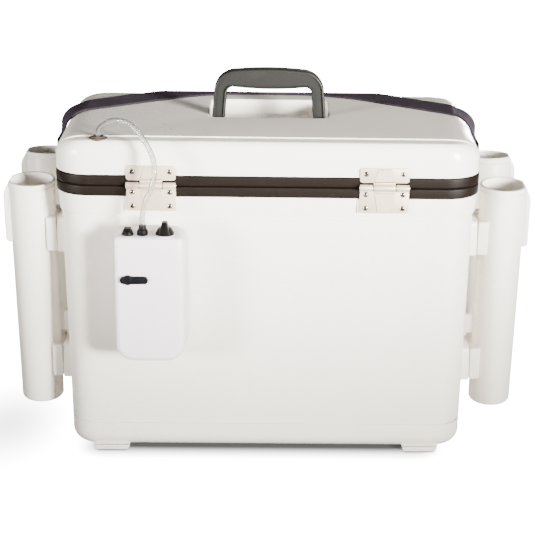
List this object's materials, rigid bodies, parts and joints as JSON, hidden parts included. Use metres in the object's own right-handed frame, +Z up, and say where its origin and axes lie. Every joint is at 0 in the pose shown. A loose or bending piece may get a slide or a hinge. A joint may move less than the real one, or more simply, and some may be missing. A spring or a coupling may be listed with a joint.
{
  "type": "live bait well cooler",
  "caption": "Insulated live bait cooler with hinged lid, folding handle, strap, rod holders, front latches and a battery air pump with hose and air stone.",
  "frame": {"origin": "on the ground under the feet, half way between the rearmost and foremost reach and midway between the sides", "axes": "+X to the right as seen from the hinge side, +Y from the hinge side to the latch side, +Z up"},
  "size_m": [0.6474, 0.353, 0.461],
  "materials": {
    "white_shell": "moulded satin to gloss white",
    "white_liner": "smooth moulded white",
    "brown_rim": "fine grained dark brown",
    "foam": "open cut foam, hidden",
    "grey_handle": "fine grained grey",
    "webbing": "woven webbing, near black",
    "gasket": "soft black rubber",
    "grommet_rubber": "dull brown grey rubber",
    "stainless": "satin pressed steel",
    "black_plastic": "moulded black",
    "cell_sleeve": "printed sleeve left plain",
    "pump_white": "smooth moulded white",
    "brass": "plain strip",
    "clear_hose": "clear soft tube",
    "stone": "sintered grains"
  },
  "bodies": {
    "body": {"outer_tub": "white_shell", "wall_foam": "foam", "inner_liner": "white_liner", "body_rim": "brown_rim", "foot_rear_left": "white_shell", "foot_front_left": "white_shell", "foot_rear_right": "white_shell", "foot_front_right": "white_shell", "hinge_lower_leaf_left": "stainless", "hinge_lower_leaf_right": "stainless", "hinge_pin_left": "stainless", "hinge_pin_right": "stainless", "latch_base_left": "stainless", "latch_base_right": "stainless", "latch_pin_left": "stainless", "latch_pin_right": "stainless", "rod_holder_rear_left": "white_shell", "rod_holder_front_left": "white_shell", "rod_holder_rear_right": "white_shell", "rod_holder_front_right": "white_shell", "pump_hanger": "pump_white", "pump_shell": "pump_white", "pump_head": "black_plastic", "pump_motor": "stainless", "pump_cell_left": "cell_sleeve", "pump_cell_right": "cell_sleeve", "pump_contact_plate": "brass", "pump_socket": "black_plastic", "pump_hose_barb": "black_plastic", "pump_knob_pad": "pump_white", "air_hose_outer": "clear_hose", "air_hose_inner": "clear_hose", "air_stone": "stone"},
    "lid": {"lid_shell": "white_shell", "lid_foam": "foam", "lid_pan": "white_liner", "lid_rim": "brown_rim", "lid_gasket": "gasket", "hose_grommet": "grommet_rubber", "hinge_upper_leaf_left": "stainless", "hinge_upper_leaf_right": "stainless", "latch_catch_left": "stainless", "latch_catch_right": "stainless", "carry_strap": "webbing", "strap_clamp_left": "black_plastic", "strap_clamp_right": "black_plastic"},
    "handle": {"carry_handle": "grey_handle"},
    "latch_arm_left": {"latch_arm_left": "stainless"},
    "latch_arm_right": {"latch_arm_right": "stainless"},
    "pump_cover": {"pump_battery_cover": "pump_white"},
    "pump_turn_latch": {"pump_turn_latch": "black_plastic"},
    "pump_knob": {"pump_knob": "black_plastic"},
    "socket_cap": {"pump_socket_cap": "black_plastic"}
  },
  "joints": [
    {"name": "lid_hinge", "type": "hinge", "parent": "body", "child": "lid", "pos_m": [0, -0.1241, 0.35], "axis": [1, 0, 0], "range_deg": [0, 95], "deforming": ["air_hose_outer", "air_hose_inner"]},
    {"name": "handle_fold", "type": "hinge", "parent": "lid", "child": "handle", "pos_m": [0, 0.022, 0.393], "axis": [-1, 0, 0], "range_deg": [0, 90]},
    {"name": "latch_swing_left", "type": "hinge", "parent": "body", "child": "latch_arm_left", "pos_m": [-0.15, 0.1715, 0.322], "axis": [1, 0, 0], "range_deg": [0, 180]},
    {"name": "latch_swing_right", "type": "hinge", "parent": "body", "child": "latch_arm_right", "pos_m": [0.15, 0.1715, 0.322], "axis": [1, 0, 0], "range_deg": [0, 180]},
    {"name": "pump_cover_off", "type": "slide", "parent": "body", "child": "pump_cover", "axis": [0, -1, 0], "range_m": [0, 0.06]},
    {"name": "pump_latch_turn", "type": "hinge", "parent": "pump_cover", "child": "pump_turn_latch", "pos_m": [-0.1625, -0.1727, 0.2497], "axis": [0, -1, 0], "range_deg": [0, 90]},
    {"name": "pump_knob_turn", "type": "hinge", "parent": "body", "child": "pump_knob", "pos_m": [-0.1195, -0.158, 0.3], "axis": [0, 0, 1], "range_deg": [0, 90]},
    {"name": "socket_cap_off", "type": "slide", "parent": "body", "child": "socket_cap", "axis": [0, 0, 1], "range_m": [0, 0.02]}
  ]
}
